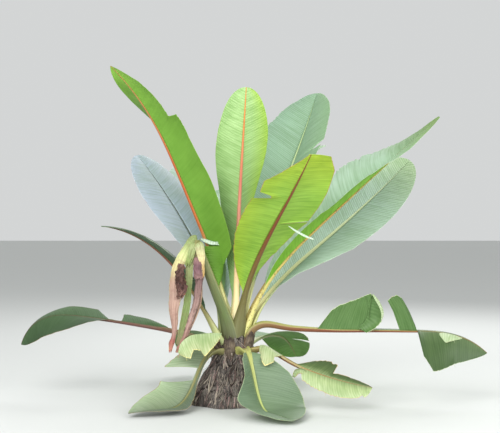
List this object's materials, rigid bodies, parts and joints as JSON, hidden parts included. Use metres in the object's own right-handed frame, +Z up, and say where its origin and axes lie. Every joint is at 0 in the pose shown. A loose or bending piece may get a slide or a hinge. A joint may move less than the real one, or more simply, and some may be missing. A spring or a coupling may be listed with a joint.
{
  "type": "rock banana plant",
  "caption": "Rock banana plant with a short swollen stem, tall paddle leaves fanned out of its crown, low torn leaves and one dead leaf hanging from its stalk.",
  "frame": {"origin": "middle of the flat cut under the stem, at ground level", "axes": "+Z up the stem, +X to the right and +Y away as the plant is seen in the picture"},
  "size_m": [3.9734, 2.8053, 2.8047],
  "materials": {
    "stem": "matt and fibrous",
    "leaf": "waxy above, satin below",
    "dead_leaf": "dry and matt",
    "leaf_stub": "matt"
  },
  "bodies": {
    "root": {"stem": "stem", "leaf_centre": "leaf", "leaf_front": "leaf", "leaf_tall_left": "leaf", "leaf_back_right": "leaf", "leaf_right_folded": "leaf", "leaf_right_open": "leaf", "leaf_back_left": "leaf", "leaf_left_pale": "leaf", "leaf_rear": "leaf", "leaf_left_mid": "leaf", "leaf_left_low": "leaf", "leaf_right_low": "leaf", "leaf_rear_low": "leaf", "leaf_rear_right_low": "leaf", "leaf_front_low": "leaf", "leaf_right_torn": "leaf", "leaf_left_torn": "leaf", "dead_leaf_stalk": "dead_leaf", "dead_leaf_blade": "dead_leaf", "leaf_stub_1": "leaf_stub", "leaf_stub_2": "leaf_stub", "leaf_stub_3": "leaf_stub", "leaf_stub_4": "leaf_stub", "leaf_stub_5": "leaf_stub", "leaf_stub_6": "leaf_stub"}
  },
  "joints": []
}
